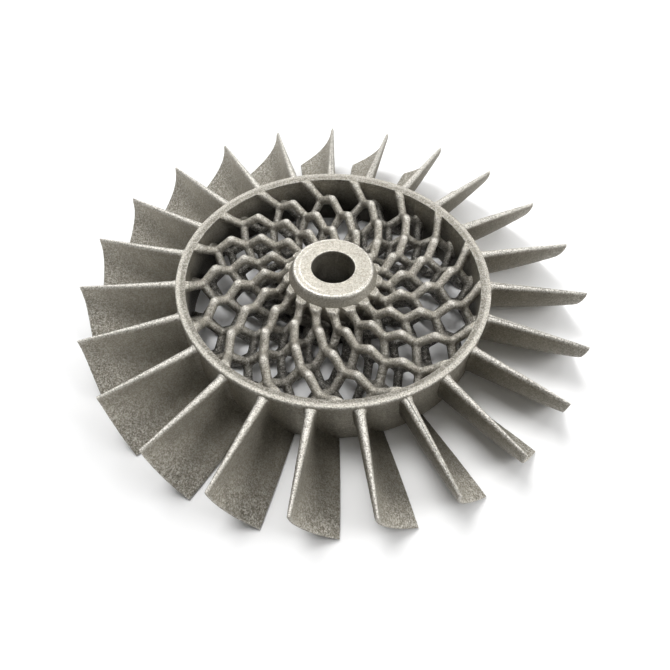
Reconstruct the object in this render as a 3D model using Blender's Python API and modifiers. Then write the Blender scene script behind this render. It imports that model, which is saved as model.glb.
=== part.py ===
"""Turbine wheel with a strut-lattice core, built in metres with +Z up.

A bored hub carries an open lattice of round struts, the lattice carries a thin
rim ring, and the rim carries twenty-three curved blades. The wheel lies on its
lower face, its axis on Z, with the floor at zero.
"""

import math

import bmesh
import bpy
from mathutils import Vector

MM = 0.001
GAP = 0.3 * MM

LEADING_TIP_RADIUS = 75.0 * MM
TRAILING_TIP_RADIUS = 73.95 * MM
BLADE_COUNT = 23

RIM_OUTER = 46.5 * MM
RIM_WALL = 2.9 * MM
RIM_BEVEL_WIDTH = 1.55 * MM
RIM_BEVEL_DROP = 0.45 * MM
RIM_HEIGHT = 17.7 * MM
RIM_EDGE = 0.5 * MM
RIM_DRAFT = 0.6 * MM
RIM_STEPS = 92

HUB_RADIUS = 13.2 * MM
HUB_TOP = 20.4 * MM
HUB_FACE_RADIUS = 11.2 * MM
HUB_EDGE = 0.8 * MM
HUB_FLANK_TURN = math.radians(60)
HUB_EDGE_STEPS = 3
BORE_RADIUS = 6.4 * MM
BORE_CHAMFER = 0.4 * MM
HUB_STEPS = 51

STRUT_HALF_SIDE = 1.2 * MM
LATTICE_TOP = 15.4 * MM
CELLS_AROUND = 17
CELLS_OUT = 2
CELL_LENGTH = 15.0 * MM
LEVEL_RISE = 3.5 * MM
CELL_LEVELS = 4
LATTICE_PHASE = math.radians(89.5)
SECTOR_ARMS = (3, 3, 3, 3, 3, 2)
WALL_STUB = 2.0 * MM

BLADE_PITCH = 2 * math.pi / BLADE_COUNT
LEADING_ANGLE_ROOT = math.radians(90.0)
LEADING_ANGLE_TIP = math.radians(89.35)
LEADING_HEIGHT_ROOT = 16.85 * MM
LEADING_HEIGHT_TIP = 15.9 * MM
TRAILING_HEIGHT = 0.4 * MM
SWEEP_ROOT = math.radians(9.85)
SWEEP_TIP = math.radians(9.35)
CAMBER_POWER_ROOT = 4.5
CAMBER_POWER_TIP = 2.1
THICKNESS_ROOT = 3.1 * MM
THICKNESS_TIP = 1.15 * MM
CHORD_TAPER_ROOT = 0.75
CHORD_TAPER_TIP = 0.3
NOSE_SHARE = 0.45
NOSE_CHORD = 0.11
BLADE_EDGE = 0.2 * MM
BLADE_EDGE_ANGLE = math.radians(45)
CHORD_STEPS = 9
CHORD_BUNCHING = 0.11
SPAN_STEPS = 3

METAL_COLOUR = (0.30, 0.285, 0.25, 1.0)


def clear_scene():
    for old in list(bpy.data.objects):
        bpy.data.objects.remove(old, do_unlink=True)


def new_collection(name, hidden=False):
    collection = bpy.data.collections.new(name)
    collection.hide_render = hidden
    bpy.context.scene.collection.children.link(collection)
    return collection


def sintered_metal(name, roughness):
    material = bpy.data.materials.new(name)
    material.use_nodes = True
    surface = material.node_tree.nodes["Principled BSDF"]
    surface.inputs["Base Color"].default_value = METAL_COLOUR
    surface.inputs["Metallic"].default_value = 1.0
    surface.inputs["Roughness"].default_value = roughness
    return material


def object_from(mesh_builder, name, collection, material=None):
    """An object whose mesh is what the bmesh builder leaves."""
    mesh = bpy.data.meshes.new(name)
    work = bmesh.new()
    mesh_builder(work)
    work.to_mesh(mesh)
    work.free()
    made = bpy.data.objects.new(name, mesh)
    collection.objects.link(made)
    if material:
        mesh.materials.append(material)
    return made


def turned(name, profile, steps, collection, material=None):
    """A closed profile of (radius, height) points, turned about Z."""

    def outline(work):
        points = [work.verts.new((radius, 0, height)) for radius, height in profile]
        for first, second in zip(points, points[1:] + points[:1]):
            work.edges.new((first, second))

    made = object_from(outline, name, collection, material)
    screw = made.modifiers.new("turn", "SCREW")
    screw.steps = steps
    screw.render_steps = steps
    screw.use_merge_vertices = True
    screw.merge_threshold = 0.00001
    screw.use_smooth_shade = True
    screw.use_normal_calculate = True
    return made


def hub(collection, material):
    """Bored boss that stands above the rim: a flat face, a round edge and a flank."""
    turns = [
        HUB_FLANK_TURN * step / HUB_EDGE_STEPS for step in range(HUB_EDGE_STEPS + 1)
    ]
    edge = [
        (
            HUB_FACE_RADIUS + HUB_EDGE * math.sin(turn),
            HUB_TOP - HUB_EDGE * (1 - math.cos(turn)),
        )
        for turn in turns
    ]
    profile = [
        (BORE_RADIUS, BORE_CHAMFER),
        (BORE_RADIUS, HUB_TOP - BORE_CHAMFER),
        (BORE_RADIUS + BORE_CHAMFER, HUB_TOP),
        *edge,
        (HUB_RADIUS, RIM_HEIGHT),
        (HUB_RADIUS, BORE_CHAMFER),
        (HUB_RADIUS - BORE_CHAMFER, 0),
        (BORE_RADIUS + BORE_CHAMFER, 0),
    ]
    return turned("hub", profile, HUB_STEPS, collection, material)


def rim_ring(collection, material):
    """Thin ring around the lattice, sloping inwards on top and tapering outside."""
    inner = RIM_OUTER - RIM_WALL
    profile = [
        (inner, RIM_EDGE),
        (inner, RIM_HEIGHT - RIM_BEVEL_DROP),
        (inner + RIM_BEVEL_WIDTH, RIM_HEIGHT),
        (RIM_OUTER - RIM_EDGE, RIM_HEIGHT),
        (RIM_OUTER, RIM_HEIGHT - RIM_EDGE),
        (RIM_OUTER - RIM_DRAFT, RIM_EDGE),
        (RIM_OUTER - RIM_DRAFT - RIM_EDGE, 0),
        (inner + RIM_EDGE, 0),
    ]
    return turned("rim_ring", profile, RIM_STEPS, collection, material)


def lattice_point(out, around, level):
    """Point at so many cells out from the hub, cells around, and quarter cells up."""
    radius = HUB_RADIUS + out * CELL_LENGTH
    angle = LATTICE_PHASE - around * 2 * math.pi / CELLS_AROUND
    height = LATTICE_TOP - (CELL_LEVELS - level) * LEVEL_RISE
    return Vector((radius * math.cos(angle), radius * math.sin(angle), height))


def lattice_bars():
    """Each strut as its two joints, a joint being (out, around, level).

    The cell is that of a diamond crystal: inside the lattice every joint has two
    struts up and two down. The struts of one layer run in zigzags from the hub to
    the rim, and those of the next layer turn the other way.
    """
    bars = []
    for upper in range(CELL_LEVELS, 0, -1):
        turn = -0.25 if upper % 2 == 0 else 0.25
        wall_level = upper - upper % 2
        free_level = 2 * upper - 1 - wall_level
        start = 0.5 if wall_level % 4 == 0 else 0.0
        for arm in range(CELLS_AROUND):
            for step in range(4 * CELLS_OUT):
                here, there = (
                    (
                        0.25 * place,
                        (arm + start + turn * place) % CELLS_AROUND,
                        wall_level if place % 2 == 0 else free_level,
                    )
                    for place in (step, step + 1)
                )
                bars.append((here, there))
    return bars


def sector_of(joint):
    """Number of the sector that holds a joint: each takes a few spiral arms.

    A lowest joint on the hub has one strut only, and goes with its other end.
    """
    out, around, level = joint
    step = 0.5 if out == 0 and level == 0 else 0.0
    arm = (out + around + step + 0.25) % CELLS_AROUND
    for sector, last in enumerate(SECTOR_LASTS):
        if arm < last:
            return sector
    return 0


def skinned(name, bars, collection, material):
    """One fused body of square bars around the given segments."""

    def wires(work):
        joints = {}
        for ends in bars:
            for key, place in ends:
                if key not in joints:
                    joints[key] = work.verts.new(place)
            work.edges.new([joints[key] for key, _ in ends])

    made = object_from(wires, name, collection, material)
    made.modifiers.new("bars", "SKIN")
    for corner in made.data.skin_vertices[0].data:
        corner.radius = (STRUT_HALF_SIDE, STRUT_HALF_SIDE)
    made.data.skin_vertices[0].data[0].use_root = True
    flat = made.modifiers.new("fewer faces", "DECIMATE")
    flat.decimate_type = "DISSOLVE"
    flat.angle_limit = math.radians(12)
    return made


def lattice_sector(number, bars, room, collection, material):
    """The struts of some spiral arms, with half of each strut to the next arms."""
    pieces = []
    for ends in bars:
        owners = [sector_of(end) for end in ends]
        places = [lattice_point(*end) for end in ends]
        if number not in owners:
            continue
        if owners[0] == owners[1]:
            pieces.append(tuple(zip(ends, places)))
            continue
        kept = owners.index(number)
        reach = 0.5 - 0.5 * GAP / (places[1] - places[0]).length
        cut = places[kept].lerp(places[1 - kept], reach)
        pieces.append(((ends[kept], places[kept]), ((ends, "cut"), cut)))
    for key in sorted({end for ends in bars for end in ends}):
        if sector_of(key) != number or key[0] not in (0, CELLS_OUT):
            continue
        place = lattice_point(*key)
        outward = Vector((place.x, place.y, 0)).normalized()
        stub = place + outward * (WALL_STUB if key[0] else -WALL_STUB)
        pieces.append(((key, place), ((key, "stub"), stub)))
    made = skinned(f"lattice_{number + 1}", pieces, collection, material)
    trim = made.modifiers.new("trim", "BOOLEAN")
    trim.operation = "INTERSECT"
    trim.object = room
    trim.solver = "EXACT"
    return made


def between(root, tip, span):
    """Value at so much of the blade's span, from that at its root and its tip."""
    return root + span * (tip - root)


def blade_point(chord, span, number):
    """Point of the blade's middle surface: chord from leading, span from the rim."""
    root_radius = RIM_OUTER - RIM_DRAFT * chord + GAP
    tip_radius = between(LEADING_TIP_RADIUS, TRAILING_TIP_RADIUS, chord)
    radius = between(root_radius, tip_radius, span)
    power = between(CAMBER_POWER_ROOT, CAMBER_POWER_TIP, span)
    turn = between(LEADING_ANGLE_ROOT, LEADING_ANGLE_TIP, span)
    turn += between(SWEEP_ROOT, SWEEP_TIP, span) * chord**power
    angle = turn - number * BLADE_PITCH
    top = between(LEADING_HEIGHT_ROOT, LEADING_HEIGHT_TIP, span)
    height = between(top, TRAILING_HEIGHT, chord)
    return Vector((radius * math.cos(angle), radius * math.sin(angle), height))


def thickness_share(chord, span):
    """Thickness at a point of the blade, as a share of the most at its root.

    The section has a round nose and thins towards its trailing edge.
    """
    most = between(1, THICKNESS_TIP / THICKNESS_ROOT, span)
    taper = 1 - chord * between(CHORD_TAPER_ROOT, CHORD_TAPER_TIP, span)
    before = max(0, 1 - chord / NOSE_CHORD)
    nose = 1 - (1 - NOSE_SHARE) * before * before
    return most * taper * nose


def blade(number, collection, material):
    """Cambered, twisted sheet with a thick nose and a thin trailing edge."""

    def sheet(work):
        bmesh.ops.create_grid(
            work, x_segments=CHORD_STEPS, y_segments=SPAN_STEPS, size=0.5
        )
        shares = work.verts.layers.deform.verify()
        for vert in work.verts:
            even, span = vert.co.x + 0.5, vert.co.y + 0.5
            chord = even - CHORD_BUNCHING * math.sin(2 * math.pi * even)
            vert[shares][0] = thickness_share(chord, span)
            vert.co = blade_point(chord, span, number)

    made = object_from(sheet, f"blade_{number + 1:02d}", collection, material)
    made.vertex_groups.new(name="thickness share")
    shell = made.modifiers.new("thickness", "SOLIDIFY")
    shell.thickness = THICKNESS_ROOT
    shell.offset = 0
    shell.vertex_group = "thickness share"
    edges = made.modifiers.new("round edges", "BEVEL")
    edges.width = BLADE_EDGE
    edges.segments = 1
    edges.limit_method = "ANGLE"
    edges.angle_limit = BLADE_EDGE_ANGLE
    for face in made.data.polygons:
        face.use_smooth = True
    return made


def lattice_room(collection):
    """Ring-shaped space between the hub, the rim and the floor."""
    inner = HUB_RADIUS + GAP
    outer = RIM_OUTER - RIM_WALL - GAP
    top = 2 * RIM_HEIGHT
    profile = [(inner, 0), (inner, top), (outer, top), (outer, 0)]
    made = turned("lattice_room", profile, RIM_STEPS, collection)
    made.modifiers["turn"].use_normal_flip = True
    made.display_type = "WIRE"
    made.hide_render = True
    return made


SECTOR_LASTS = [sum(SECTOR_ARMS[: count + 1]) for count in range(len(SECTOR_ARMS))]


def build():
    clear_scene()
    wheel = new_collection("turbine_wheel")
    cutters = new_collection("cutters", hidden=True)
    core_metal = sintered_metal("sintered_core", 0.55)
    blade_metal = sintered_metal("sintered_blades", 0.6)
    hub(wheel, core_metal)
    rim_ring(wheel, core_metal)
    room = lattice_room(cutters)
    bars = lattice_bars()
    for number in range(len(SECTOR_ARMS)):
        lattice_sector(number, bars, room, wheel, core_metal)
    for number in range(BLADE_COUNT):
        blade(number, wheel, blade_metal)


build()
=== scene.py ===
# %% [markdown]
# A turbine wheel printed in one piece of stainless steel: a bored hub, an open core of
# round struts, a thin rim and twenty-three curved blades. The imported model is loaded
# first, as a frame that says where each part goes. Every piece below is made around it.

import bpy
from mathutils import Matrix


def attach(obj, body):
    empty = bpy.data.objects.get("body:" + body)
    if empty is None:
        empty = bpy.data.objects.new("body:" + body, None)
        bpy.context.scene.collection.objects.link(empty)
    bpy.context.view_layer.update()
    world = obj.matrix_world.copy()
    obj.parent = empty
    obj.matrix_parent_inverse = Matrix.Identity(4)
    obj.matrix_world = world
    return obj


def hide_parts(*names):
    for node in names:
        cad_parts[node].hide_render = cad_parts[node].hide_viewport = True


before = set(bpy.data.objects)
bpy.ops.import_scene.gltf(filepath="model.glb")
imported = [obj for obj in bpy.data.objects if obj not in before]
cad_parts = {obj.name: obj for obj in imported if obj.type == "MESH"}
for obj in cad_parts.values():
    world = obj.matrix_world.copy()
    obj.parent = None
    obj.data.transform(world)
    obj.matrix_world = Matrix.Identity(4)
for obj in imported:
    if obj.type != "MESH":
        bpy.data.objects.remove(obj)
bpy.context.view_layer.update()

# %% [markdown]
# The wheel was photographed from the front and from well above, with a short lens held
# close, so the near blades look larger than the far ones. A camera is a lens on a
# position and a turn. Its turn is made of two: the tip towards the wheel, and a very
# small roll about the line of sight. A slight shift of the lens sets the wheel a little
# off the middle of the frame without changing its perspective.

# %% Camera
import math

import bmesh
import bpy
from mathutils import Matrix, Vector, noise

MM = 0.001
CAMERA_PLACE = Vector((-4.66, -126.53, 152.38)) * MM
CAMERA_TIP = math.radians(36.554)
CAMERA_ROLL = math.radians(0.23)
FILM_WIDTH = 36.0
LENS_LENGTH = 33.227
LENS_SHIFT = (0.02702, 0.01505)
NEAREST_SEEN = 1.0 * MM


def add_object(name, data):
    """An object in the scene that shows this mesh, lamp or camera."""
    made = bpy.data.objects.new(name, data)
    bpy.context.scene.collection.objects.link(made)
    return made


camera = add_object("camera", bpy.data.cameras.new("camera"))
camera.matrix_world = (
    Matrix.Translation(CAMERA_PLACE)
    @ Matrix.Rotation(CAMERA_TIP, 4, "X")
    @ Matrix.Rotation(CAMERA_ROLL, 4, "Z")
)
camera.data.sensor_width = FILM_WIDTH
camera.data.lens = LENS_LENGTH
camera.data.shift_x, camera.data.shift_y = LENS_SHIFT
camera.data.clip_start = NEAREST_SEEN
bpy.context.scene.camera = camera
print("camera", [round(value, 3) for value in CAMERA_PLACE])

# %% [markdown]
# Colours are given as sRGB hex values, as a picture editor shows them. A shader needs
# linear light, so one function turns one into the other, by the sRGB standard. Another
# small function adds a shader node with its settings and links, which keeps the
# materials short to read. Patterns are sized in millimetres, by the width of a spot.

# %% Helpers for materials


def linear(hex_colour):
    """An sRGB hex colour as linear red, green, blue and alpha."""
    shares = [int(hex_colour[place : place + 2], 16) / 255 for place in (1, 3, 5)]
    toe = 0.04045
    lit = [s / 12.92 if s <= toe else ((s + 0.055) / 1.055) ** 2.4 for s in shares]
    return (*lit, 1.0)


def add_node(tree, kind, settings=None, links=None):
    """Adds a node, sets its properties or sockets, and joins sockets to outputs."""
    node = tree.nodes.new(kind)
    for name, value in (settings or {}).items():
        if isinstance(name, int) or name in node.inputs:
            node.inputs[name].default_value = value
        else:
            setattr(node, name, value)
    for name, output in (links or {}).items():
        tree.links.new(node.inputs[name], output)
    return node


def per_metre(millimetres):
    """Scale of a pattern whose spots are this wide."""
    return 1 / (millimetres * MM)


def new_material(name):
    """A material with its node tree and its main shader."""
    material = bpy.data.materials.new(name)
    material.use_nodes = True
    tree = material.node_tree
    return material, tree, tree.nodes["Principled BSDF"]


print("middle grey in linear light", round(linear("#808080")[0], 3))

# %% [markdown]
# The wheel lies on a plain white table. One large flat square stands for it, so wide
# that its edges are never seen. Matt paint gives the eye an even white without gloss.
# A trace of unevenness, in clouds 40 mm wide, keeps it from looking empty.

# %% Floor
FLOOR_HALF = 2.0
PAINT_CLOUD = 40
PAINT_SHADES = ("#F4F4F4", "#F7F7F7")


def matt_white_paint():
    """Matt paint: an even white without gloss, with a trace of unevenness."""
    material, tree, surface = new_material("matt_white_paint")
    place = add_node(tree, "ShaderNodeTexCoord").outputs["Object"]
    cloud = add_node(
        tree,
        "ShaderNodeTexNoise",
        {"Scale": per_metre(PAINT_CLOUD), "Detail": 2.0},
        {"Vector": place},
    )
    shade = add_node(tree, "ShaderNodeValToRGB", links={"Fac": cloud.outputs["Fac"]})
    for end, colour in zip(shade.color_ramp.elements, PAINT_SHADES):
        end.color = linear(colour)
    tree.links.new(surface.inputs["Base Color"], shade.outputs["Color"])
    surface.inputs["Roughness"].default_value = 0.9
    surface.inputs["Specular IOR Level"].default_value = 0.1
    return material


floor_mesh = bpy.data.meshes.new("floor")
corners = [(x * FLOOR_HALF, y * FLOOR_HALF, 0) for x, y in ((-1, -1), (1, -1), (1, 1), (-1, 1))]
floor_mesh.from_pydata(corners, [], [(0, 1, 2, 3)])
floor = add_object("floor", floor_mesh)
floor_mesh.materials.append(matt_white_paint())
print("floor", 2 * FLOOR_HALF, "m wide")

# %% [markdown]
# The light is soft studio light from wide square lamps. The main one hangs high up,
# behind the wheel and to its left, so that level faces mirror it and turn bright, the
# rim throws its shadow towards the viewer, and the depth of the core stays dark. The
# second, low on the right, brings out the blades and lifts the shadows. Weaker lamps and
# an even sky fill in the rest. The picture is shown with the plain standard curve, which
# keeps the table as white as paper.

# %% Light
LAMP_DISTANCE = 0.85
LAMP_WIDTH = 0.4
SKY_STRENGTH = 0.21
# Each lamp: azimuth from behind to the right, elevation, both in degrees, and watts.
LAMPS = {
    "key_lamp": (-45, 65, 4.8),
    "right_lamp": (100, 30, 4.2),
    "back_right_lamp": (60, 45, 1.3),
    "back_lamp": (0, 30, 1.5),
    "top_lamp": (0, 88, 0.8),
    "front_left_lamp": (-135, 25, 0.2),
}


def soft_lamp(name, azimuth, elevation, watts):
    """A square soft lamp that looks at the wheel."""
    lamp = bpy.data.lights.new(name, "AREA")
    lamp.size = LAMP_WIDTH
    lamp.energy = watts
    made = add_object(name, lamp)
    turn, lift = math.radians(azimuth), math.radians(elevation)
    aside, back = math.sin(turn) * math.cos(lift), math.cos(turn) * math.cos(lift)
    made.location = Vector((aside, back, math.sin(lift))) * LAMP_DISTANCE
    made.rotation_euler = (-made.location).to_track_quat("-Z", "Y").to_euler()


for name, (azimuth, elevation, watts) in LAMPS.items():
    soft_lamp(name, azimuth, elevation, watts)

sky = bpy.data.worlds.new("studio")
sky.use_nodes = True
sky.node_tree.nodes["Background"].inputs["Color"].default_value = (1, 1, 1, 1)
sky.node_tree.nodes["Background"].inputs["Strength"].default_value = SKY_STRENGTH
bpy.context.scene.world = sky
bpy.context.scene.view_settings.view_transform = "Standard"
print("lamps", len(LAMPS))

# %% [markdown]
# The metal is stainless steel, printed from powder and sintered in a furnace. Nothing
# was ground or polished, so it is a matt warm grey, pitted and speckled by its grains.
# Noise draws that well, because powder lies at random: fine grain, clumps of grains, and
# a wide mottling from the furnace. Cells draw the single grains, each with a facet of its
# own, and a few of them are painted bright as glints. The real powder is about 0.05 mm
# across, too fine to show here, so the grain is drawn 0.42 mm wide. Three marks on each
# mesh steer the look: one says how much worn colour and painted highlight a point gets,
# one how many loose grains cling there, and one how much painted shade darkens it.

# %% Patterns and marks of the steel
# Each noise: width of its spots in millimetres, its detail and its roughness.
STEEL_NOISES = {
    "grain": (0.42, 3.0, 0.7),
    "clump": (0.9, 2.0, 0.6),
    "mottle": (5.0, 4.0, 0.6),
}
FACET_WIDTH = 0.36
CLUMP_SHARE = 0.3
STEEL_MARKS = ("wear_and_highlight", "grit", "painted_shade")


def steel_patterns(tree):
    """The patterns and marks of printed steel, each output under its name."""
    place = add_node(tree, "ShaderNodeTexCoord").outputs["Object"]
    values = {}
    for name, (width, detail, roughness) in STEEL_NOISES.items():
        settings = {"Scale": per_metre(width), "Detail": detail, "Roughness": roughness}
        cloud = add_node(tree, "ShaderNodeTexNoise", settings, {"Vector": place})
        values[name] = cloud.outputs["Fac"]
    scale = {"Scale": per_metre(FACET_WIDTH)}
    cells = add_node(tree, "ShaderNodeTexVoronoi", scale, {"Vector": place})
    values["facet"] = cells.outputs["Color"]
    both = add_node(
        tree,
        "ShaderNodeMix",
        {"data_type": "FLOAT", 0: CLUMP_SHARE},
        {2: values["grain"], 3: values["clump"]},
    )
    values["powder"] = both.outputs[0]
    for name in STEEL_MARKS:
        mark_node = add_node(tree, "ShaderNodeAttribute", {"attribute_name": name})
        values[name] = mark_node.outputs["Fac"]
    return values


print("patterns", *STEEL_NOISES, "facet", "marks", *STEEL_MARKS)

# %% [markdown]
# A pattern seldom has the range that the look needs, so it is stretched to one that has.
# Where grains cling, the speckle is stronger, the relief higher, and a few grain cells,
# picked at random, are painted bright as glints. Edges that stick out get the colour of
# worn steel and a painted highlight, first on the grains that stand proud. The mottling
# and the painted shade set the tone. Two small tables hold these steps, and a loop makes
# the nodes of each.

# %% Steps from pattern to look
# Each stretch: the value it starts from, its range, and the range that it is given.
STRETCHES = {
    "speckled": ("grit", (0.0, 0.8), (0.4, 1.0)),
    "cloudy": ("mottle", (0.3, 0.7), (0.9, 1.08)),
    # Painted shade: the shade mark darkens the colour, down to a fifth where it is full.
    "painted_shade_factor": ("painted_shade", (0.0, 1.0), (1.0, 0.2)),
    # Painted glints: grain cells with a high random value turn bright, whatever the light.
    "glint_cells": ("facet", (0.64, 0.8), (0.0, 1.0)),
    "loose": ("grit", (0.1, 0.9), (0.0, 0.65)),
    "proud": ("grain", (0.4, 0.56), (0.25, 1.0)),
    "raised": ("grit", (0.0, 1.0), (0.5, 2.0)),
}
# Each join: how two values are joined, and which.
JOINS = {
    "mottle_and_shade": ("MULTIPLY", "cloudy", "painted_shade_factor"),
    "painted_glints": ("MULTIPLY", "glint_cells", "loose"),
    # Worn colour and painted highlight where edges are marked, then painted glints beside them.
    "rubbed_and_highlit": ("MULTIPLY", "wear_and_highlight", "proud"),
    "wear_and_painted_light": ("MAXIMUM", "rubbed_and_highlit", "painted_glints"),
    "relief": ("MULTIPLY", "powder", "raised"),
}


def steel_values(tree):
    """Every value that the look of the steel needs, each output under its name."""
    values = steel_patterns(tree)
    for name, (source, given, wanted) in STRETCHES.items():
        ranges = dict(zip(("From Min", "From Max", "To Min", "To Max"), (*given, *wanted)))
        stretched = add_node(tree, "ShaderNodeMapRange", ranges, {"Value": values[source]})
        values[name] = stretched.outputs["Result"]
    for name, (operation, first, second) in JOINS.items():
        ends = {0: values[first], 1: values[second]}
        joined = add_node(tree, "ShaderNodeMath", {"operation": operation}, ends)
        values[name] = joined.outputs["Value"]
    return values


print("steps", len(STRETCHES) + len(JOINS))

# %% [markdown]
# The colour starts from three greys that follow the same noise as the relief: dark in the
# hollows between the grains, partly as painted shade, light on top of them. It is calmed
# towards the middle one where few grains cling, then mottled and darkened by painted shade,
# and last it is mixed with a bright colour that stands for worn steel, painted highlights
# and painted glints. The metal is fully metallic, with a roughness that drops a little on
# each grain, and the grains stand out as bump. Hub, rim and core share one such steel. The
# blades have a second one, a little rougher, which spreads the light of the lamps more
# evenly over their wide faces.

# %% Sintered steel
STEEL_DARK = "#7D776B"
STEEL_MID = "#A6A195"
STEEL_LIGHT = "#D2CEC4"
# Colour of worn steel, also used for painted highlights and painted glints.
STEEL_WORN_AND_HIGHLIGHT = "#F0EDE6"
SPECKLE_ENDS = (0.38, 0.62)
SPECKLE_MIDDLE = 0.5
GLOSS_GRAIN = (0.3, 0.7)
GLOSS_SPREAD = 0.07
GRAIN_HEIGHT = 0.32 * MM
CORE_ROUGHNESS = 0.5
BLADE_ROUGHNESS = 0.6


def steel_colour(tree, values):
    """The colour of printed steel, as an output."""
    # Speckle of the grains, darker in the low hollows of the noise that draws the relief,
    # partly as painted shade.
    speckle = add_node(tree, "ShaderNodeValToRGB", links={"Fac": values["powder"]})
    ramp = speckle.color_ramp.elements
    ramp[0].position, ramp[1].position = SPECKLE_ENDS
    ramp[0].color = linear(STEEL_DARK)
    ramp[1].color = linear(STEEL_LIGHT)
    ramp.new(SPECKLE_MIDDLE).color = linear(STEEL_MID)
    calm = add_node(
        tree,
        "ShaderNodeMix",
        {"data_type": "RGBA", 6: linear(STEEL_MID)},
        {0: values["speckled"], 7: speckle.outputs["Color"]},
    )
    # Mottling and painted shade scale the colour down.
    mottled_and_shaded = add_node(
        tree,
        "ShaderNodeVectorMath",
        {"operation": "SCALE"},
        {0: calm.outputs[2], "Scale": values["mottle_and_shade"]},
    )
    # Worn colour, painted highlights and painted glints are mixed in last.
    worn_and_highlit = add_node(
        tree,
        "ShaderNodeMix",
        {"data_type": "RGBA", 7: linear(STEEL_WORN_AND_HIGHLIGHT)},
        {0: values["wear_and_painted_light"], 6: mottled_and_shaded.outputs["Vector"]},
    )
    return worn_and_highlit.outputs[2]


def sintered_steel(name, roughness):
    """Matt metal, pitted and speckled by its powder grains, brighter on worn edges and painted
    highlights, darker in painted shade.
    """
    material, tree, surface = new_material(name)
    values = steel_values(tree)
    gloss = add_node(
        tree,
        "ShaderNodeMapRange",
        {
            "From Min": GLOSS_GRAIN[0],
            "From Max": GLOSS_GRAIN[1],
            "To Min": roughness + GLOSS_SPREAD,
            "To Max": roughness - GLOSS_SPREAD,
        },
        {"Value": values["grain"]},
    )
    bump = add_node(
        tree,
        "ShaderNodeBump",
        {"Strength": 1.0, "Distance": GRAIN_HEIGHT},
        {"Height": values["relief"]},
    )
    tree.links.new(surface.inputs["Base Color"], steel_colour(tree, values))
    tree.links.new(surface.inputs["Roughness"], gloss.outputs["Result"])
    tree.links.new(surface.inputs["Normal"], bump.outputs["Normal"])
    surface.inputs["Metallic"].default_value = 1.0
    return material


core_steel = sintered_steel("sintered_steel_core", CORE_ROUGHNESS)
blade_steel = sintered_steel("sintered_steel_blades", BLADE_ROUGHNESS)
print("materials", core_steel.name, blade_steel.name)

# %% [markdown]
# Every mesh below becomes a piece that stands for one node of the imported model: it rides
# on the one body of the wheel, hides its node, and takes its finish. A mesh carries the
# marks that its material reads as one value for each point. Painted shade in the core is
# set by height alone: none near its top, and more the further down.

# %% Pieces and their marks
CORE_REACH = 44.0 * MM
# Painted shade starts at this height and is full this much lower.
PAINTED_SHADE_TOP = 14.6 * MM
PAINTED_SHADE_RISE = 7.5 * MM


def mark(mesh, name, values):
    """Writes one value for each point of a mesh, for its material to read."""
    marks = mesh.attributes.new(name, "FLOAT", "POINT")
    marks.data.foreach_set("value", values)


def painted_shade_by_height(point):
    """Painted shade of a point inside the rim, by height: 0 near the top, 1 far down."""
    if point.xy.length > CORE_REACH:
        return 0.0
    return min(1.0, max(0.0, (PAINTED_SHADE_TOP - point.z) / PAINTED_SHADE_RISE))


def show(name, mesh, material, node):
    """Puts a mesh in the scene as the piece that stands for a CAD node."""
    for face in mesh.polygons:
        face.use_smooth = True
    mesh.materials.append(material)
    made = add_object(name, mesh)
    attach(made, "root")
    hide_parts(node)
    return made


print("depth marked below", round(PAINTED_SHADE_TOP / MM, 1), "mm")

# %% [markdown]
# Hub, rim and blades are all skins stretched over a row of loops: the hub and the rim
# over sections that go round the axis, a blade over its sections from root to tip. One
# function makes such a skin, closed into a ring or capped at both ends. Another shifts
# points by a smooth random amount, because a printed surface is never quite true. The
# noise behind it gets a fixed seed, so that every run gives the same wheel.

# %% Skins over loops
NOISE_SEED = 7
noise.seed_set(NOISE_SEED)


def ring_faces(loops, closed):
    """The four-sided faces between neighbouring loops."""
    count = len(loops[0])
    faces = []
    for row in range(len(loops) if closed else len(loops) - 1):
        here, there = row * count, (row + 1) % len(loops) * count
        for column in range(count):
            after = (column + 1) % count
            faces.append((here + column, here + after, there + after, there + column))
    return faces


def cap_faces(start, count):
    """Faces across one loop, each between two points and the two that face them."""
    faces = []
    for column in range(count // 2 - 1):
        mirror = count - 1 - column
        faces.append((start + column, start + column + 1, start + mirror - 1, start + mirror))
    return faces


def skin(name, loops, wear_and_highlight_rows, closed, material, node):
    """A mesh over equal loops of points, closed round or capped at both ends."""
    count = len(loops[0])
    faces = ring_faces(loops, closed)
    if not closed:
        faces += cap_faces(0, count) + cap_faces((len(loops) - 1) * count, count)
    mesh = bpy.data.meshes.new(name)
    mesh.from_pydata([point for loop in loops for point in loop], [], faces)
    # The first mark: worn colour and painted highlight for each point.
    mark(mesh, "wear_and_highlight", [value for loop in wear_and_highlight_rows for value in loop])
    work = bmesh.new()
    work.from_mesh(mesh)
    bmesh.ops.recalc_face_normals(work, faces=work.faces)
    work.to_mesh(mesh)
    work.free()
    return show(name, mesh, material, node)


def rough(point, height, spot):
    """The point moved by smooth noise, as much as height, in spots this wide."""
    return point + noise.noise_vector(point / spot) * height


print("a square column of two loops has", len(ring_faces([[0] * 4] * 2, False)), "sides")

# %% [markdown]
# The hub and the rim are turned shapes: a half-section drawn once, then carried round
# the axis. A section is made of arcs at the corners and straight stretches between them.
# The straight stretches have points too, so that the unevenness can move them.

# %% Half-sections


def arc(centre, radius, start, end, steps):
    """Points of an arc in the half-section, angles in degrees."""
    turns = [math.radians(start + (end - start) * n / steps) for n in range(steps + 1)]
    return [
        (centre[0] + radius * math.cos(turn), centre[1] + radius * math.sin(turn))
        for turn in turns
    ]


def straight(start, end, steps):
    """Points between two corners of the half-section, without its ends."""
    return [
        tuple(a + (b - a) * n / steps for a, b in zip(start, end)) for n in range(1, steps)
    ]


def turned(radius, height, angle):
    """A point of the half-section, carried round the axis."""
    return Vector((radius * math.cos(angle), radius * math.sin(angle), height))


print("a quarter arc in 6 steps has", len(arc((0, 0), 1, 90, 0, 6)), "points")

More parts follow.
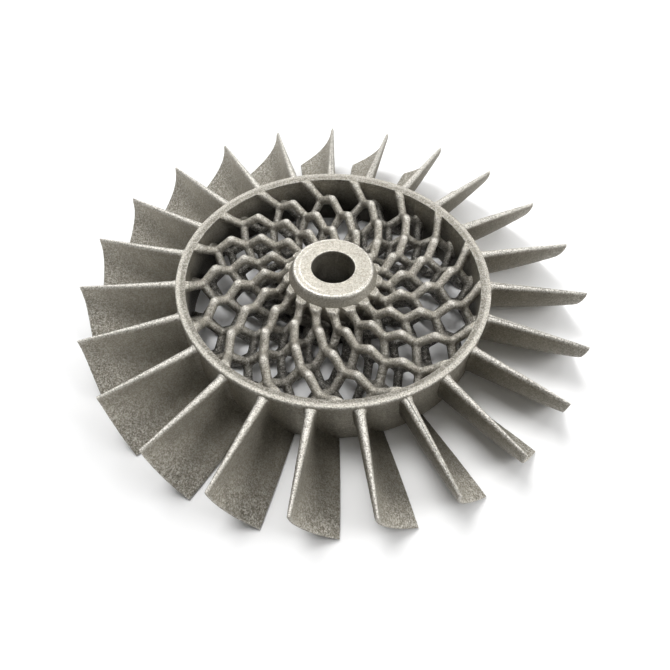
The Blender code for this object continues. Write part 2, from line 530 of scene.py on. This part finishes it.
# %% [markdown]
# The hub is a bored boss. Its top is a flat ring with a rounded outer edge, then a
# sloping flank that ends where the struts begin. The bore is smoother than the rest and
# keeps its true round. The section says how much worn colour and painted highlight each
# row gets: most on the outer edge, less on the bore's edge, the flank and the top.

# %% Section of the hub
HUB_RADIUS = 13.2 * MM
HUB_TOP = 20.4 * MM
HUB_FACE_RADIUS = 11.2 * MM
HUB_EDGE = 0.8 * MM
BORE_RADIUS = 6.4 * MM
BORE_EDGE = 0.3 * MM
FLANK_FOOT = 16.9 * MM
# Worn colour and painted highlight of each part of the section.
BORE_WEAR_AND_HIGHLIGHT = 0.5
FACE_WEAR_AND_HIGHLIGHT = 0.22
OUTER_WEAR_AND_HIGHLIGHT = 0.8
FLANK_WEAR_AND_HIGHLIGHT = 0.25


def hub_section():
    """Half-section of the hub as (radius, height, wear and painted highlight), from the bore's
    foot up.
    """
    bore = BORE_RADIUS + BORE_EDGE
    foot = arc((bore, BORE_EDGE), BORE_EDGE, 270, 180, 4)
    top_round = arc((bore, HUB_TOP - BORE_EDGE), BORE_EDGE, 180, 90, 6)
    outer = arc((HUB_FACE_RADIUS, HUB_TOP - HUB_EDGE), HUB_EDGE, 90, 30, 6)
    flank_foot = (HUB_RADIUS, FLANK_FOOT)
    low = arc((HUB_RADIUS - BORE_EDGE, BORE_EDGE), BORE_EDGE, 0, -90, 4)
    stretches = (
        (foot, 0.0),
        (straight(foot[-1], top_round[0], 24), 0.0),
        (top_round, BORE_WEAR_AND_HIGHLIGHT),
        (straight(top_round[-1], outer[0], 24), FACE_WEAR_AND_HIGHLIGHT),
        (outer, OUTER_WEAR_AND_HIGHLIGHT),
        (straight(outer[-1], flank_foot, 5), FLANK_WEAR_AND_HIGHLIGHT),
        ([flank_foot], 0.0),
        (straight(flank_foot, low[0], 20), 0.0),
        (low, 0.0),
    )
    return [(*row, wear_and_shine) for rows, wear_and_shine in stretches for row in rows]


print("hub section", len(hub_section()), "rows")

# %% [markdown]
# The printer lays its powder in layers, and on a face that is almost level one layer
# ends in a fine step. On the hub it shows as an arc on the left of the top, caught by
# the light. It could be painted, but a real step also holds in other views, so the rows
# outside the arc are lowered a little. The rows along it also get a painted highlight,
# strongest on the left.

# %% Hub
HUB_TURNS = 220
STEP_RADIUS = 9.9 * MM
STEP_DROP = 0.12 * MM
STEP_WIDTH = 0.25 * MM
# Painted highlight along the edge of the step.
STEP_HIGHLIGHT = 0.6
STEP_SIDE = math.radians(175)
STEP_FADE = 0.05
STEP_RISE = 1.6
SMOOTH_BORE = 1.0 * MM
SMOOTH_FOOT = 0.5 * MM
WALL_UNEVEN = 0.05 * MM
HUB_SPOT = 0.9 * MM


def on_step(radius, height):
    """Whether a row of the half-section lies along the edge of the fine layer step."""
    return height > HUB_TOP - STEP_DROP and abs(radius - STEP_RADIUS) < STEP_WIDTH


def hub():
    """The boss, with the fine layer step on the left of its top face."""
    section = hub_section()
    loops, wear_and_highlight_rows = [], []
    for turn in range(HUB_TURNS):
        angle = 2 * math.pi * turn / HUB_TURNS
        leftness = max(0.0, math.cos(angle - STEP_SIDE) - STEP_FADE)
        loop, worn_and_highlit = [], []
        for radius, height, wear_and_highlight in section:
            # Painted highlight along the step, strongest on the left where the light catches
            # it.
            step_highlight = STEP_HIGHLIGHT * leftness if on_step(radius, height) else 0.0
            worn_and_highlit.append(min(1.0, wear_and_highlight + step_highlight))
            if height > HUB_TOP - HUB_EDGE and radius > STEP_RADIUS:
                height -= STEP_DROP * min(1.0, STEP_RISE * leftness)
            point = turned(radius, height, angle)
            if radius > BORE_RADIUS + SMOOTH_BORE and height > SMOOTH_FOOT:
                shifted = rough(point, WALL_UNEVEN, HUB_SPOT)
                point = Vector((*shifted.xy, min(shifted.z, HUB_TOP)))
            loop.append(point)
        loops.append(loop)
        wear_and_highlight_rows.append(worn_and_highlit)
    made = skin("hub_boss", loops, wear_and_highlight_rows, True, core_steel, "hub")
    # Painted shade on the lower walls of the hub.
    mark(made.data, "painted_shade", [painted_shade_by_height(vert.co) for vert in made.data.vertices])
    return made


boss = hub()
print("hub", len(boss.data.polygons), "faces")

# %% [markdown]
# The rim is a thin ring between the core and the blades. It is a turned profile too: an
# outer wall that tapers a little, a narrow level band on top, and inside that band a
# gentle slope that falls towards the core. The band gets worn colour and a painted
# highlight and the slope painted shade, which draws the two lines of the real rim. Its
# outer foot is well rounded, so a dark line shows where it meets the table.

# %% Section of the rim
RIM_OUTER = 46.5 * MM
RIM_HEIGHT = 17.7 * MM
RIM_WALL = 2.9 * MM
RIM_EDGE = 0.5 * MM
RIM_FOOT = 1.2 * MM
RIM_DRAFT = 0.6 * MM
RIM_SLOPE_WIDTH = 1.55 * MM
RIM_SLOPE_DROP = 0.45 * MM
SLOPE_EDGE = 0.15 * MM
CORNER_STEPS = 4
# Worn colour and painted highlight of each corner, from the outer foot up and over the top
# to the inner foot, and then the points and the worn colour and painted highlight of the
# straight stretch after it.
CORNER_WEAR_AND_HIGHLIGHT = (0.0, 0.5, 0.3, 0.2, 0.0)
STRAIGHT_STEPS = (16, 3, 4, 16, 3)
STRAIGHT_WEAR_AND_HIGHLIGHT = (0.0, 0.35, 0.05, 0.0, 0.0)


def rim_section():
    """Section of the rim as (radius, height, wear and painted highlight), counter-clockwise."""
    inner = RIM_OUTER - RIM_WALL
    low = RIM_OUTER - RIM_DRAFT
    slope_foot = RIM_HEIGHT - RIM_SLOPE_DROP
    fall = math.degrees(math.atan2(RIM_SLOPE_DROP, RIM_SLOPE_WIDTH))
    corners = [
        (low - RIM_FOOT, RIM_FOOT, RIM_FOOT, -90, 0),
        (RIM_OUTER - RIM_EDGE, RIM_HEIGHT - RIM_EDGE, RIM_EDGE, 0, 90),
        (inner + RIM_SLOPE_WIDTH, RIM_HEIGHT - SLOPE_EDGE, SLOPE_EDGE, 90, 90 + fall),
        (inner + SLOPE_EDGE, slope_foot - SLOPE_EDGE, SLOPE_EDGE, 90 + fall, 180),
        (inner + RIM_EDGE, RIM_EDGE, RIM_EDGE, 180, 270),
    ]
    arcs = [arc((x, z), radius, *turn, CORNER_STEPS) for x, z, radius, *turn in corners]
    rows = []
    for number, points in enumerate(arcs):
        following = arcs[(number + 1) % len(arcs)][0]
        stretch = straight(points[-1], following, STRAIGHT_STEPS[number])
        rows += [(*row, CORNER_WEAR_AND_HIGHLIGHT[number]) for row in points]
        rows += [(*row, STRAIGHT_WEAR_AND_HIGHLIGHT[number]) for row in stretch]
    return rows


print("rim section", len(rim_section()), "rows")

# %% [markdown]
# The section is carried round, and its walls get a faint unevenness. Two marks finish
# it: the slope, and the inner wall the further down it goes, get painted shade, and
# grains cling to the top, which gives the rim its speckle and its painted glints.

# %% Rim
RIM_TURNS = 420
RIM_SPOT = 0.8 * MM
# Painted shade on the rim's slope.
SLOPE_PAINTED_SHADE = 0.38
TOP_GRIT = 0.5
WALL_GRIT = 0.1
GRIT_REACH = 1.0 * MM


def rim_painted_shade(point):
    """Painted shade on the rim at a point: a fixed amount on its slope, more further down
    inside.
    """
    slope_top = RIM_OUTER - RIM_WALL + RIM_SLOPE_WIDTH
    slope_foot = RIM_HEIGHT - RIM_SLOPE_DROP - SLOPE_EDGE
    if point.xy.length < slope_top and point.z > slope_foot:
        return SLOPE_PAINTED_SHADE
    return painted_shade_by_height(point)


def rim():
    """The ring, with a faint unevenness on its walls."""
    section = rim_section()
    loops = []
    for turn in range(RIM_TURNS):
        loop = []
        for radius, height, _ in section:
            point = turned(radius, height, 2 * math.pi * turn / RIM_TURNS)
            shifted = rough(point, WALL_UNEVEN, RIM_SPOT)
            loop.append(Vector((*shifted.xy, max(0.0, shifted.z))))
        loops.append(loop)
    wear_and_highlight_rows = [[wear_and_highlight for _, _, wear_and_highlight in section]] * RIM_TURNS
    made = skin("rim_band", loops, wear_and_highlight_rows, True, core_steel, "rim_ring")
    places = [vert.co for vert in made.data.vertices]
    near_top = RIM_HEIGHT - GRIT_REACH
    # Painted shade on the slope and the low inner wall.
    mark(made.data, "painted_shade", [rim_painted_shade(place) for place in places])
    mark(made.data, "grit", [TOP_GRIT if place.z > near_top else WALL_GRIT for place in places])
    return made


ring = rim()
print("rim", len(ring.data.polygons), "faces")

# %% [markdown]
# The core is a lattice with the cell of a diamond crystal: every joint inside it has two
# struts going up and two going down. Each layer of struts runs in zigzags from the hub
# to the rim, and the next layer turns the other way. The struts are laid out as lines
# first, from joint to joint, in cells out from the hub, cells round, and levels up. Each
# strut crosses a quarter of a cell.

# %% Lines of the core
CELLS_AROUND = 17
CELLS_OUT = 2
CELL_LENGTH = 15.0 * MM
CELL_LEVELS = 4
LEVEL_RISE = 3.5 * MM
LATTICE_TOP = 15.4 * MM
LATTICE_PHASE = math.radians(89.5)
QUARTER = 0.25
HALF = 0.5


def joint_place(out, around, level):
    """Place of a joint, from its cells out, its cells round and its level."""
    radius = HUB_RADIUS + out * CELL_LENGTH
    angle = LATTICE_PHASE - around * 2 * math.pi / CELLS_AROUND
    height = LATTICE_TOP - (CELL_LEVELS - level) * LEVEL_RISE
    return turned(radius, height, angle)


def zigzag(upper, arm):
    """The struts of one arm between two levels, from the hub to the rim."""
    turn = -QUARTER if upper % 2 == 0 else QUARTER
    wall_level = upper - upper % 2
    free_level = 2 * upper - 1 - wall_level
    start = HALF if wall_level % 4 == 0 else 0.0
    stops = [
        (
            QUARTER * place,
            (arm + start + turn * place) % CELLS_AROUND,
            wall_level if place % 2 == 0 else free_level,
        )
        for place in range(4 * CELLS_OUT + 1)
    ]
    return list(zip(stops, stops[1:]))


struts = [
    strut
    for upper in range(CELL_LEVELS, 0, -1)
    for arm in range(CELLS_AROUND)
    for strut in zigzag(upper, arm)
]
joints = sorted({joint for strut in struts for joint in strut})

# %% [markdown]
# The real core is one body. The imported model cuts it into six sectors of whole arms, as
# one node would be too heavy, and the pieces here follow that cut. Each joint belongs to
# one sector, by the arm that it lies on. A strut belongs to the sectors of its two ends.

# %% Sectors of the core
SECTOR_LASTS = (3, 6, 9, 12, 15, 17)


def sector_of(joint):
    """Number of the sector that holds a joint."""
    out, around, level = joint
    step = HALF if out == 0 and level == 0 else 0.0
    arm = (out + around + step + QUARTER) % CELLS_AROUND
    return next(number for number, last in enumerate(SECTOR_LASTS) if arm < last)


def at_wall(joint):
    """Whether a joint lies on the hub or on the rim."""
    return joint[0] in (0, CELLS_OUT)


joint_sectors = [sector_of(joint) for joint in joints]
print("joints by sector", [joint_sectors.count(n) for n in range(len(SECTOR_LASTS))])

# %% [markdown]
# Each line becomes a round rod. A small ball fills the notch where rods meet, and a rod
# that ends at a wall simply runs on into it, a little wider there, as it does on the
# printed part. A rod between two sectors is cut at its middle, and the two halves
# overlap a little, so that no gap shows.

# %% Rods of the core
STRUT_RADIUS = 1.38 * MM
ROD_SIDES = 16
FOOT_RADIUS = {"hub": 2.1 * MM, "rim": 1.7 * MM}
FOOT_LENGTH = 1.7 * MM
FOOT_SINK = 3.8 * MM
OVERLAP = 0.4 * MM


def rod(work, start, end, start_radius, end_radius):
    """A round rod between two points."""
    along = end - start
    bmesh.ops.create_cone(
        work,
        cap_ends=True,
        segments=ROD_SIDES,
        radius1=start_radius,
        radius2=end_radius,
        depth=along.length,
        matrix=Matrix.Translation((start + end) / 2)
        @ along.to_track_quat("Z", "Y").to_matrix().to_4x4(),
    )


def foot(work, place, away):
    """The end of one rod in a wall, away being the direction it comes from."""
    wide = FOOT_RADIUS["hub" if place.xy.length < RIM_OUTER / 2 else "rim"]
    rod(work, place + away * FOOT_LENGTH, place, STRUT_RADIUS, wide)
    rod(work, place, place - away * FOOT_SINK, wide, wide)


def core_rods(number):
    """All rods, feet and balls of one sector, before they are melted together."""
    work = bmesh.new()
    for ends in struts:
        owners = [sector_of(end) for end in ends]
        if number not in owners:
            continue
        start, end = (joint_place(*joint) for joint in ends)
        along = (end - start).normalized()
        if at_wall(ends[0]) and owners[0] == number:
            foot(work, start, along)
        if at_wall(ends[1]) and owners[1] == number:
            foot(work, end, -along)
        middle, reach = (start + end) / 2, along * OVERLAP / 2
        if owners[1] != number:
            end = middle + reach
        if owners[0] != number:
            start = middle - reach
        rod(work, start, end, STRUT_RADIUS, STRUT_RADIUS)
    for joint in joints:
        if sector_of(joint) == number and not at_wall(joint):
            ball = Matrix.Translation(joint_place(*joint))
            bmesh.ops.create_icosphere(work, subdivisions=2, radius=STRUT_RADIUS, matrix=ball)
    return work


print("struts are", round(2 * STRUT_RADIUS / MM, 2), "mm thick")

# %% [markdown]
# Rods that only cross each other would show hard creases, where the printed part is one
# flowing body. A voxel remesh melts them into one skin, and a light smoothing takes away
# its stairs but keeps the kinks at the joints. Both are modifiers on a draft, whose
# result becomes the mesh of the piece.

# %% Melted rods
VOXEL = 0.42 * MM


def melted(name, work):
    """One smooth skin over overlapping bodies."""
    mesh = bpy.data.meshes.new(name)
    work.to_mesh(mesh)
    work.free()
    draft = add_object(name + "_draft", mesh)
    remesh = draft.modifiers.new("melt", "REMESH")
    remesh.mode = "VOXEL"
    remesh.voxel_size = VOXEL
    smooth = draft.modifiers.new("soften", "SMOOTH")
    smooth.factor = 0.5
    smooth.iterations = 1
    depsgraph = bpy.context.evaluated_depsgraph_get()
    whole = bpy.data.meshes.new_from_object(draft.evaluated_get(depsgraph))
    bpy.data.objects.remove(draft, do_unlink=True)
    bpy.data.meshes.remove(mesh)
    return whole


print("voxels", round(VOXEL / MM, 2), "mm wide")

# %% [markdown]
# The melted skin is fitted between the walls. It ends inside them and never below the
# floor, and near them it is held a little under their tops, so that no foot shows
# through the rim's slope. All struts get a little worn colour and painted highlight, the
# kinks that stand highest a strong painted highlight, and loose grains cling to all of
# the struts.

# %% Core
WALL_DEPTH = 1.0 * MM
NEAR_WALL = 1.2 * MM
HUB_FOOT_TOP = 17.1 * MM
HUB_FOOT_FALL = 0.5
RIM_FOOT_TOP = 17.15 * MM
PEAK_START = 0.3 * MM
PEAK_RISE = 1.1 * MM
# Worn colour and painted highlight of the struts, and the painted highlight of their peaks.
STRUT_WEAR_AND_HIGHLIGHT = 0.15
PEAK_HIGHLIGHT = 0.75
STRUT_GRIT = 0.6


def settled(place):
    """A point of the core, kept inside the walls and off the floor, and its worn colour and
    painted highlight.
    """
    radius, height = place.xy.length, max(0.0, place.z)
    least, most = HUB_RADIUS - WALL_DEPTH, RIM_OUTER - RIM_WALL + WALL_DEPTH
    share = min(max(radius, least), most) / radius
    # Painted highlight on the kinks that stand highest.
    peak = min(1.0, max(0.0, (height - LATTICE_TOP - PEAK_START) / PEAK_RISE))
    if radius < HUB_RADIUS + NEAR_WALL:
        beyond = max(0.0, radius - HUB_RADIUS)
        height = min(height, HUB_FOOT_TOP - HUB_FOOT_FALL * beyond)
        peak = 0.0
    if radius > RIM_OUTER - RIM_WALL - NEAR_WALL:
        height = min(height, RIM_FOOT_TOP)
        peak = 0.0
    return (place.x * share, place.y * share, height), STRUT_WEAR_AND_HIGHLIGHT + PEAK_HIGHLIGHT * peak


def core_sector(number):
    """One sector of the core: melted rods, ending in the walls, with their marks."""
    name = f"core_struts_{number + 1}"
    mesh = melted(name, core_rods(number))
    mesh.name = name
    worn_and_highlit, painted_shade = [], []
    for vert in mesh.vertices:
        painted_shade.append(painted_shade_by_height(vert.co))
        vert.co, wear_and_shine = settled(vert.co)
        worn_and_highlit.append(wear_and_shine)
    # Worn colour and painted highlight, painted shade by height, and grit.
    mark(mesh, "wear_and_highlight", worn_and_highlit)
    mark(mesh, "painted_shade", painted_shade)
    mark(mesh, "grit", [STRUT_GRIT] * len(painted_shade))
    return show(name, mesh, core_steel, f"lattice_{number + 1}")


for number in range(len(SECTOR_LASTS)):
    sector = core_sector(number)
    print(sector.name, len(sector.data.polygons), "faces")

# %% [markdown]
# A blade is a curved sheet. Its leading edge stands at the top. From there the sheet
# falls steeply, and at the root it only sweeps round close to the floor, while at the
# tip it bends evenly. A power of the distance along the chord draws both: a high one
# bends late, a low one evenly. Each pair of values holds for the root and for the tip.

# %% Middle surface of a blade
BLADE_COUNT = 23
BLADE_PITCH = 2 * math.pi / BLADE_COUNT
BLADE_GAP = 0.3 * MM
TIP_RADIUS = (74.93 * MM, 73.9 * MM)
LEADING_ANGLE = (math.radians(90.0), math.radians(89.35))
LEADING_HEIGHT = (16.85 * MM, 15.9 * MM)
TRAILING_HEIGHT = 0.4 * MM
SWEEP = (math.radians(9.85), math.radians(9.35))
CAMBER_POWER = (4.5, 2.1)
TANGENT_STEP = 0.01


def between(pair, share):
    """Value that share of the way from the first to the second."""
    return pair[0] + share * (pair[1] - pair[0])


def section_radius(chord, span):
    """Radius at so much of the span, from the tapered rim to the slanting tip."""
    root = RIM_OUTER + BLADE_GAP - RIM_DRAFT * chord
    return between((root, between(TIP_RADIUS, chord)), span)


def blade_point(chord, span, number):
    """Point of a blade's middle surface, chord running from leading to trailing."""
    sweep = between(SWEEP, span) * max(0.0, chord) ** between(CAMBER_POWER, span)
    angle = between(LEADING_ANGLE, span) + sweep - number * BLADE_PITCH
    height = between((between(LEADING_HEIGHT, span), TRAILING_HEIGHT), chord)
    return turned(section_radius(chord, span), height, angle)


def blade_normal(chord, span, number):
    """Direction square to the middle surface."""
    step = TANGENT_STEP
    chord = min(max(chord, step), 1 - step)
    along = blade_point(chord + step, span, number) - blade_point(chord - step, span, number)
    outward = blade_point(chord, span + step, number) - blade_point(chord, span - step, number)
    return along.cross(outward).normalized()


print("blade pitch", round(math.degrees(BLADE_PITCH), 2), "degrees")

# %% [markdown]
# The sheet has a thick round nose, and thins towards its trailing edge and towards its
# tip. At the root it widens into a fillet that melts it to the rim, as it does where
# printed bodies meet, and the tip is slightly rounded. Half of the thickness lies on
# each side of the middle surface.

# %% Thickness of a blade
THICKNESS = (3.1 * MM, 1.15 * MM)
CHORD_TAPER = (0.75, 0.3)
NOSE_CHORD = 0.1
TAIL_CHORD = 0.03
FILLET = 1.3 * MM
FILLET_SHARE = 0.3
TIP_ROUND = 0.3 * MM
BLADE_LENGTH = TIP_RADIUS[0] - RIM_OUTER


def rounding(distance, length):
    """Share of the thickness left so near an end that is rounded over this length."""
    return math.sqrt(1 - max(0.0, 1 - distance / length) ** 2)


def half_thickness(chord, span):
    """Half the sheet's thickness: tapered, round at its ends, wider at the root."""
    half = 0.5 * between(THICKNESS, span) * (1 - chord * between(CHORD_TAPER, span))
    half *= rounding(chord, NOSE_CHORD) * rounding(1 - chord, TAIL_CHORD)
    near_root = max(0.0, 1 - max(0.0, span * BLADE_LENGTH) / FILLET)
    near_tip = max(0.0, 1 - (1 - span) * BLADE_LENGTH / TIP_ROUND)
    half *= 1 + FILLET_SHARE * near_root**2
    return half * math.sqrt(max(0.0, 1 - near_tip**2))


middle_thickness = 2 * half_thickness(0.5, 0.5) / MM
print("a blade is", round(middle_thickness, 2), "mm thick at its middle")

# %% [markdown]
# The nose gets worn colour and a painted highlight, and the leading corner of the tip a
# little. Grit clings to the nose and to the low outer corner. The upper side gets painted
# shade towards its low trailing edge and close to the rim, and the underside gets painted
# shade all over. Like the unevenness, these are values on each point of the mesh.

# %% Marks of a blade
# Worn colour and painted highlight on the nose and on the tip's leading corner.
NOSE_WEAR_AND_HIGHLIGHT = 0.9
NOSE_WEAR_AND_HIGHLIGHT_CHORD = 0.06
TIP_WEAR_AND_HIGHLIGHT = 0.4
TIP_WEAR_AND_HIGHLIGHT_SPAN = 0.02
NOSE_GRIT = 0.45
CHORD_GRIT = 0.6
SPAN_GRIT = 1.3
GRIT_START = 0.95
# Painted shade on the blades: towards the trailing edge, near the root, and on the underside.
LOW_PAINTED_SHADE = 0.12
ROOT_PAINTED_SHADE = 0.3
ROOT_PAINTED_SHADE_SPAN = 0.25
UNDERSIDE_PAINTED_SHADE = 0.45


def blade_marks(chord, span):
    """Worn colour and painted highlight, grit, and painted shade at a place on the upper side
    of a blade.
    """
    nose = max(0.0, 1 - chord / NOSE_WEAR_AND_HIGHLIGHT_CHORD)
    tip = max(0.0, 1 - (1 - span) / TIP_WEAR_AND_HIGHLIGHT_SPAN) * (1 - chord)
    # Worn colour and painted highlight.
    worn_and_highlit = max(NOSE_WEAR_AND_HIGHLIGHT * nose, TIP_WEAR_AND_HIGHLIGHT * tip)
    clinging = max(NOSE_GRIT * nose, CHORD_GRIT * chord + SPAN_GRIT * span - GRIT_START)
    near_root = max(0.0, 1 - max(0.0, span) / ROOT_PAINTED_SHADE_SPAN)
    # Painted shade towards the low trailing edge and near the rim.
    painted_shade = LOW_PAINTED_SHADE * chord**3 + ROOT_PAINTED_SHADE * chord * near_root
    return worn_and_highlit, min(1.0, max(0.0, clinging)), painted_shade


print("marks at the middle", [round(value, 3) for value in blade_marks(0.5, 0.5)])

# %% [markdown]
# Each blade is a skin over sections from its root, sunk in the rim, to its tip. The rows
# lie closer together where the shape turns fast: at both edges, in the fillet and at the
# rounded tip. A loop makes all blades from the same functions, one pitch apart, and the
# unevenness differs from blade to blade because it depends on the place.

# %% Blades
CHORD_ROWS = 36
SPAN_ROWS = 50
FILLET_ROWS = 7
TIP_ROWS = 5
ROOT_SINK = 0.6 * MM
BLADE_UNEVEN = 0.06 * MM
BLADE_SPOT = 0.8 * MM
LOWEST = 0.02 * MM


def chord_places():
    """Chord positions, close together at both edges."""
    return [0.5 - 0.5 * math.cos(math.pi * row / CHORD_ROWS) for row in range(CHORD_ROWS + 1)]


def span_places():
    """Positions of the sections, close together at the fillet and at the tip."""
    start, end = FILLET / BLADE_LENGTH, 1 - TIP_ROUND / BLADE_LENGTH
    low, last = ROOT_SINK + FILLET, math.pi / 2
    fillet = [(n * low / FILLET_ROWS - ROOT_SINK) / BLADE_LENGTH for n in range(FILLET_ROWS)]
    body = [start + n * (end - start) / SPAN_ROWS for n in range(SPAN_ROWS)]
    tip = [
        1 - TIP_ROUND / BLADE_LENGTH * math.cos(last * n / TIP_ROWS)
        for n in range(TIP_ROWS + 1)
    ]
    return fillet + body + tip


def blade_section(span, number):
    """One section, along the underside and back along the upper side, and its marks."""
    under, upper, marks = [], [], []
    for chord in chord_places():
        thick = half_thickness(chord, span)
        middle = blade_point(chord, span, number)
        normal = blade_normal(chord, span, number)
        for side, sign in ((under, 1), (upper, -1)):
            bumped = rough(middle + normal * thick * sign, BLADE_UNEVEN, BLADE_SPOT)
            side.append(Vector((*bumped.xy, max(LOWEST, bumped.z))))
        marks.append(blade_marks(chord, span))
    worn_and_highlit, grit, painted_shade = (list(values) for values in zip(*marks))
    # Painted shade over the whole underside.
    painted_shade_under = [max(value, UNDERSIDE_PAINTED_SHADE) for value in painted_shade]
    return under + upper[::-1], worn_and_highlit + worn_and_highlit[::-1], grit + grit[::-1], painted_shade_under + painted_shade[::-1]


def blade(number):
    """One blade, from its sunk root to its tip."""
    sections = [blade_section(span, number) for span in span_places()]
    loops, wear_and_shine, grit, depth = zip(*sections)
    name = f"blade_sheet_{number + 1:02d}"
    node = f"blade_{number + 1:02d}"
    made = skin(name, loops, wear_and_shine, False, blade_steel, node)
    mark(made.data, "grit", [value for loop in grit for value in loop])
    # The last mark: painted shade on each point.
    mark(made.data, "painted_shade", [value for loop in depth for value in loop])
    return made


for number in range(BLADE_COUNT):
    sheet = blade(number)
print("blades", BLADE_COUNT, "of", len(sheet.data.polygons), "faces each")
